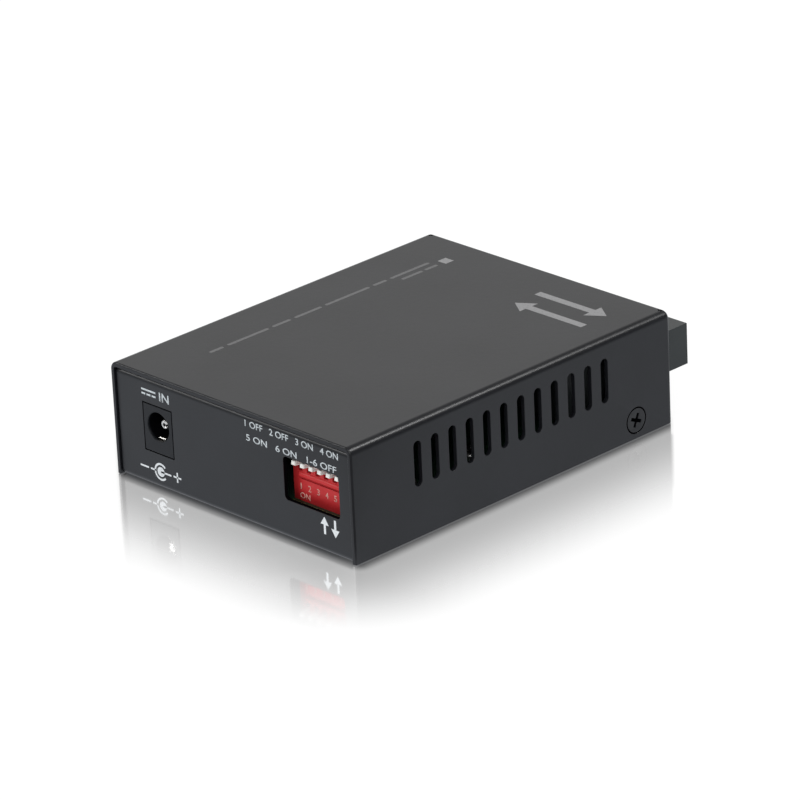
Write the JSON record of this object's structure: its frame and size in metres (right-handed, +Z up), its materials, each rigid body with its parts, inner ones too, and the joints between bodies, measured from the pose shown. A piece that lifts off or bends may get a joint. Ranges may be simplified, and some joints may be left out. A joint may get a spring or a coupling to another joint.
{
  "type": "fibre media converter",
  "caption": "Small folded-steel box with a copper network port and fibre sockets at the front, and a power jack and mode switch at the rear.",
  "frame": {"origin": "middle of the case's underside", "axes": "+Z up, +Y out of the rear panel with the power jack, -Y out of the front, +X towards the jack's side"},
  "size_m": [0.0726, 0.1054, 0.0259],
  "materials": {
    "cover_coat": "fine-textured satin powder coat",
    "chassis_coat": "fine-textured satin powder coat",
    "black_screw": "black oxide",
    "board_laminate": "green solder mask",
    "plated_steel": "bright zinc",
    "jack_plastic": "moulded black",
    "nickel_contact": "nickel plate",
    "switch_red": "moulded red",
    "lever_white": "moulded white",
    "transceiver_plastic": "moulded black, satin",
    "port_plastic": "moulded dark grey",
    "shield_tin": "tinned",
    "socket_plastic": "moulded black",
    "gold_contact": "gold plate",
    "holder_plastic": "moulded black",
    "lamp_lens": "tinted clear lens",
    "chip_epoxy": "moulded epoxy",
    "crystal_can": "drawn can",
    "capacitor_sleeve": "shrunk sleeve",
    "ferrite": "ground ferrite"
  },
  "bodies": {
    "case": {"top_cover": "cover_coat", "base_chassis": "chassis_coat", "cover_screw_left": "black_screw", "cover_screw_right": "black_screw", "circuit_board": "board_laminate", "board_standoffs": "plated_steel", "board_screws": "plated_steel", "dc_jack_housing": "jack_plastic", "dc_jack_centre_pin": "nickel_contact", "dc_jack_spring_contact": "nickel_contact", "dip_switch_body": "switch_red", "dip_switch_terminals": "nickel_contact", "transceiver_housing": "transceiver_plastic", "fibre_port_transmit": "port_plastic", "fibre_port_receive": "port_plastic", "transceiver_terminals": "nickel_contact", "rj45_shield": "shield_tin", "rj45_housing": "socket_plastic", "rj45_contacts": "gold_contact", "lamp_holder": "holder_plastic", "lamp_1": "lamp_lens", "lamp_2": "lamp_lens", "lamp_3": "lamp_lens", "lamp_4": "lamp_lens", "lamp_5": "lamp_lens", "lamp_6": "lamp_lens", "converter_chip": "chip_epoxy", "magnetics_module": "chip_epoxy", "memory_chip": "chip_epoxy", "crystal": "crystal_can", "voltage_regulator": "chip_epoxy", "capacitor_1": "capacitor_sleeve", "capacitor_2": "capacitor_sleeve", "capacitor_3": "capacitor_sleeve", "power_inductor": "ferrite", "rectifier_diode": "chip_epoxy"},
    "lever_1": {"dip_lever_1": "lever_white"},
    "lever_2": {"dip_lever_2": "lever_white"},
    "lever_3": {"dip_lever_3": "lever_white"},
    "lever_4": {"dip_lever_4": "lever_white"},
    "lever_5": {"dip_lever_5": "lever_white"},
    "lever_6": {"dip_lever_6": "lever_white"}
  },
  "joints": [
    {"name": "lever_1_tilt", "type": "hinge", "parent": "case", "child": "lever_1", "pos_m": [-0.0176, 0.04025, 0.0165], "axis": [1, 0, 0], "range_deg": [-15, 0]},
    {"name": "lever_2_tilt", "type": "hinge", "parent": "case", "child": "lever_2", "pos_m": [-0.02014, 0.04025, 0.0165], "axis": [1, 0, 0], "range_deg": [-15, 0]},
    {"name": "lever_3_tilt", "type": "hinge", "parent": "case", "child": "lever_3", "pos_m": [-0.02268, 0.04025, 0.0165], "axis": [1, 0, 0], "range_deg": [-15, 0]},
    {"name": "lever_4_tilt", "type": "hinge", "parent": "case", "child": "lever_4", "pos_m": [-0.02522, 0.04025, 0.0165], "axis": [1, 0, 0], "range_deg": [-15, 0]},
    {"name": "lever_5_tilt", "type": "hinge", "parent": "case", "child": "lever_5", "pos_m": [-0.02776, 0.04025, 0.0165], "axis": [1, 0, 0], "range_deg": [-15, 0]},
    {"name": "lever_6_tilt", "type": "hinge", "parent": "case", "child": "lever_6", "pos_m": [-0.0303, 0.04025, 0.0165], "axis": [1, 0, 0], "range_deg": [-15, 0]}
  ]
}
